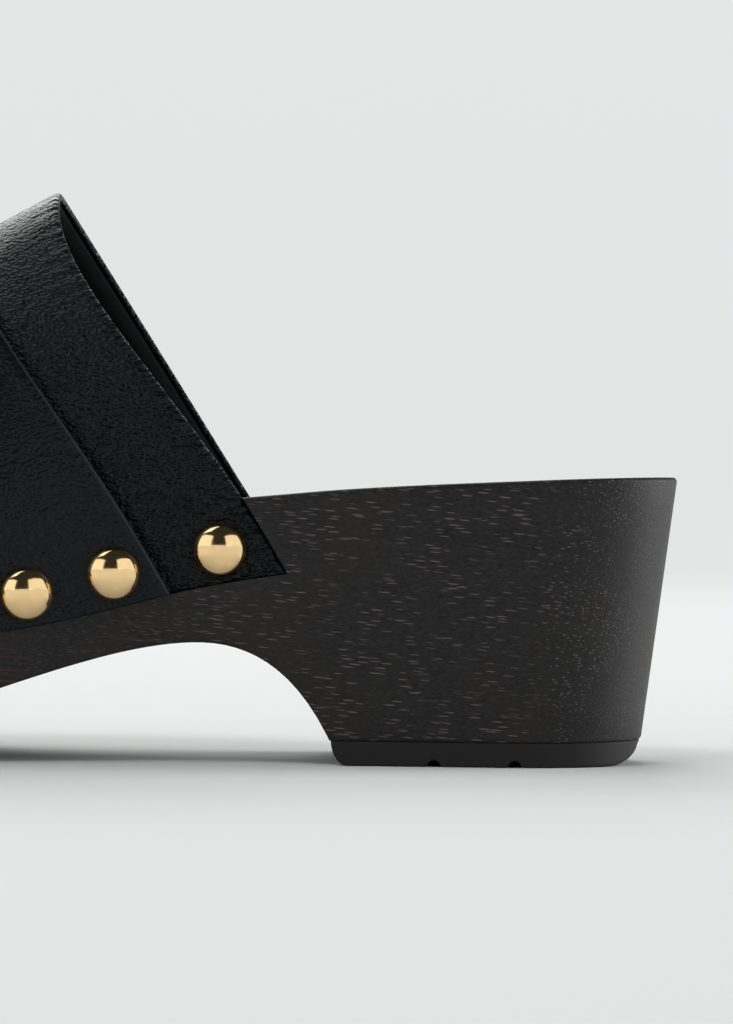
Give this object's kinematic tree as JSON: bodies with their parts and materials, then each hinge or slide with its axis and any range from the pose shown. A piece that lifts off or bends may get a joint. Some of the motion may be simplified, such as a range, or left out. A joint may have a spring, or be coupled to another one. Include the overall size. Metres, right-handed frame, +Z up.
{
  "type": "studded clog",
  "caption": "Heeled clog with a wooden sole and block heel, a closed leather front with an instep band, and polished dome nails along its edge.",
  "frame": {"origin": "on the floor, below the middle of the shoe's box", "axes": "+X from the toe towards the heel, +Y towards the inner side of the foot, +Z up"},
  "size_m": [0.2548, 0.0984, 0.1165],
  "materials": {
    "black_wood": "black stained wood with pale pore dashes, satin",
    "black_rubber": "dark grey solid rubber, matt",
    "black_leather": "black grained leather, semi-gloss",
    "gold_studs": "polished pale gold plating"
  },
  "bodies": {
    "root": {"sole_wood": "black_wood", "heel_toplift": "black_rubber", "forefoot_tread": "black_rubber", "upper": "black_leather", "vamp": "black_leather", "stud_01": "gold_studs", "stud_02": "gold_studs", "stud_03": "gold_studs", "stud_04": "gold_studs", "stud_05": "gold_studs", "stud_06": "gold_studs", "stud_07": "gold_studs", "stud_08": "gold_studs", "stud_09": "gold_studs", "stud_10": "gold_studs", "stud_11": "gold_studs", "stud_12": "gold_studs", "stud_13": "gold_studs", "stud_14": "gold_studs", "stud_15": "gold_studs", "stud_16": "gold_studs", "stud_17": "gold_studs", "stud_18": "gold_studs", "stud_19": "gold_studs", "stud_20": "gold_studs", "stud_21": "gold_studs", "stud_22": "gold_studs"}
  },
  "joints": []
}
